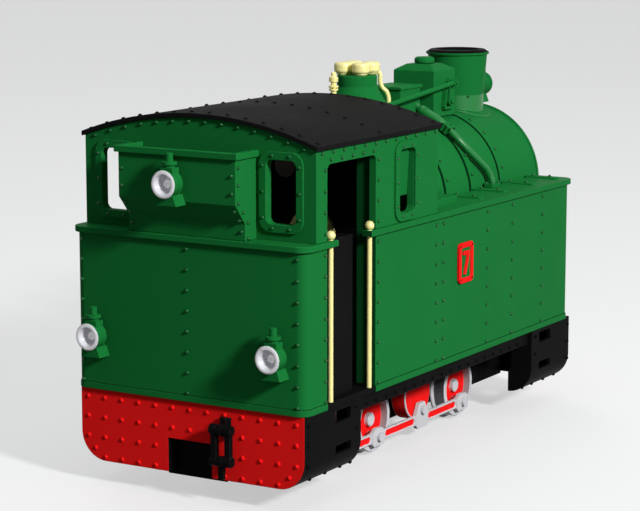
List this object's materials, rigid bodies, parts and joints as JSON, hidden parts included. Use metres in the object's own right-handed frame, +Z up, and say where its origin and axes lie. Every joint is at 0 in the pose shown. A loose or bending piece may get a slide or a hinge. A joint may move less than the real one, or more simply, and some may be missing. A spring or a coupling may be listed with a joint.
{
  "type": "live steam engine",
  "caption": "Garden railway live steam side tank engine with riveted bodywork, arched cab, rear coal bunker, and wheels coupled by rods to a geared jackshaft.",
  "frame": {"origin": "on the floor under the middle of the engine, where the wheel flanges stand", "axes": "+X towards the chimney end, +Y to the engine's left, +Z up"},
  "size_m": [0.2666, 0.1112, 0.1636],
  "materials": {
    "green_paint": "satin",
    "black_paint": "satin",
    "red_paint": "satin",
    "pale_metal": "satin",
    "lamp_bright": "bright",
    "steel": "brushed",
    "brass": "polished",
    "copper": "satin, copper coloured"
  },
  "bodies": {
    "engine": {"smokebox_saddle": "green_paint", "left_tank": "green_paint", "right_tank": "green_paint", "rear_tank": "green_paint", "cab_sides": "green_paint", "cab_ends": "green_paint", "window_frames": "green_paint", "coal_bunker": "green_paint", "boiler_cladding": "green_paint", "smokebox": "green_paint", "chimney": "green_paint", "steam_dome": "green_paint", "sandbox": "green_paint", "sandbox_cap": "green_paint", "regulator_box": "green_paint", "steam_pipe": "green_paint", "lamp_bodies": "green_paint", "main_frame": "black_paint", "footplate": "black_paint", "skirts": "black_paint", "cab_roof": "black_paint", "cab_locker": "black_paint", "chimney_cap": "black_paint", "coupling_brackets": "black_paint", "rear_buffer_beam": "red_paint", "front_buffer_beam": "red_paint", "number_plates": "red_paint", "lamp_reflectors": "lamp_bright", "steam_motor": "steel", "axle_bushes": "brass", "gas_tank": "brass", "gas_burner": "brass", "safety_valves": "brass", "relief_pipe": "brass", "whistle": "brass", "handrails": "brass", "backhead_gauges": "brass", "exhaust_pipe": "copper", "boiler_barrel": "copper"},
    "rear_wheelset": {"rear_axle": "steel", "rear_wheels": "pale_metal"},
    "middle_wheelset": {"middle_axle": "steel", "middle_wheels": "pale_metal"},
    "front_wheelset": {"front_axle": "steel", "front_wheels": "pale_metal"},
    "jackshaft": {"jackshaft": "steel", "jackshaft_cranks": "red_paint"},
    "motor_shaft": {"motor_pinion": "steel"},
    "left_rod": {"left_coupling_rod": "pale_metal"},
    "right_rod": {"right_coupling_rod": "pale_metal"},
    "smokebox_door": {"smokebox_door": "green_paint"},
    "door_dart": {"door_dart": "steel"},
    "sander_lever": {"sander_lever": "green_paint"},
    "sander_rod": {"sander_rod": "green_paint"},
    "rear_link": {"rear_coupling_link": "black_paint"},
    "front_link": {"front_coupling_link": "black_paint"},
    "rear_tail": {"rear_coupling_tail": "black_paint"},
    "front_tail": {"front_coupling_tail": "black_paint"},
    "regulator_handle": {"regulator_handle": "steel"},
    "reversing_lever": {"reversing_lever": "steel"}
  },
  "joints": [
    {"name": "jackshaft_spin", "type": "hinge", "parent": "engine", "child": "jackshaft", "pos_m": [0.0192, 0, 0.019], "axis": [0, 1, 0], "continuous": true},
    {"name": "rear_axle_spin", "type": "hinge", "parent": "engine", "child": "rear_wheelset", "pos_m": [-0.0576, 0, 0.015], "axis": [0, 1, 0], "continuous": true},
    {"name": "middle_axle_spin", "type": "hinge", "parent": "engine", "child": "middle_wheelset", "pos_m": [-0.0192, 0, 0.015], "axis": [0, 1, 0], "continuous": true},
    {"name": "front_axle_spin", "type": "hinge", "parent": "engine", "child": "front_wheelset", "pos_m": [0.0576, 0, 0.015], "axis": [0, 1, 0], "continuous": true},
    {"name": "motor_spin", "type": "hinge", "parent": "engine", "child": "motor_shaft", "pos_m": [0.00396, 0, 0.02905], "axis": [0, 1, 0], "continuous": true},
    {"name": "left_rod_pin", "type": "hinge", "parent": "jackshaft", "child": "left_rod", "pos_m": [0.0262, 0.0293, 0.019], "axis": [0, 1, 0], "continuous": true},
    {"name": "right_rod_pin", "type": "hinge", "parent": "jackshaft", "child": "right_rod", "pos_m": [0.0192, -0.0293, 0.012], "axis": [0, 1, 0], "continuous": true},
    {"name": "smokebox_door_hinge", "type": "hinge", "parent": "engine", "child": "smokebox_door", "pos_m": [0.1268, 0.029, 0.1022], "axis": [0, 0, 1], "range_deg": [0, 110]},
    {"name": "door_dart_turn", "type": "hinge", "parent": "smokebox_door", "child": "door_dart", "pos_m": [0.129, 0, 0.1022], "axis": [1, 0, 0], "range_deg": [0, 90]},
    {"name": "sander_lever_pivot", "type": "hinge", "parent": "engine", "child": "sander_lever", "pos_m": [0.0772, -0.0118, 0.1419], "axis": [0, 1, 0], "range_deg": [-15, 15]},
    {"name": "sander_rod_pin", "type": "hinge", "parent": "sander_lever", "child": "sander_rod", "pos_m": [0.0772, -0.014, 0.1504], "axis": [0, 1, 0], "range_deg": [-15, 15]},
    {"name": "rear_link_swing", "type": "hinge", "parent": "engine", "child": "rear_link", "pos_m": [-0.1203, -0.0174, 0.0307], "axis": [0, 1, 0], "range_deg": [0, 100]},
    {"name": "front_link_swing", "type": "hinge", "parent": "engine", "child": "front_link", "pos_m": [0.1251, 0.0174, 0.0307], "axis": [0, -1, 0], "range_deg": [0, 100]},
    {"name": "rear_tail_swing", "type": "hinge", "parent": "rear_link", "child": "rear_tail", "pos_m": [-0.1203, -0.0174, 0.0182], "axis": [0, 1, 0], "range_deg": [-15, 90]},
    {"name": "front_tail_swing", "type": "hinge", "parent": "front_link", "child": "front_tail", "pos_m": [0.1251, 0.0174, 0.0182], "axis": [0, -1, 0], "range_deg": [-15, 90]},
    {"name": "regulator_turn", "type": "hinge", "parent": "engine", "child": "regulator_handle", "pos_m": [-0.0265, 0, 0.1142], "axis": [1, 0, 0], "range_deg": [0, 50]},
    {"name": "reversing_lever_pivot", "type": "hinge", "parent": "engine", "child": "reversing_lever", "pos_m": [-0.0399, -0.026, 0.0446], "axis": [0, 1, 0], "range_deg": [-18, 18]}
  ],
  "couplings": [
    {"joint": "rear_axle_spin", "follows": "jackshaft_spin", "ratio": 1},
    {"joint": "middle_axle_spin", "follows": "jackshaft_spin", "ratio": 1},
    {"joint": "front_axle_spin", "follows": "jackshaft_spin", "ratio": 1},
    {"joint": "motor_spin", "follows": "jackshaft_spin", "ratio": -1.8889},
    {"joint": "left_rod_pin", "follows": "jackshaft_spin", "ratio": -1},
    {"joint": "right_rod_pin", "follows": "jackshaft_spin", "ratio": -1},
    {"joint": "sander_rod_pin", "follows": "sander_lever_pivot", "ratio": -1}
  ]
}
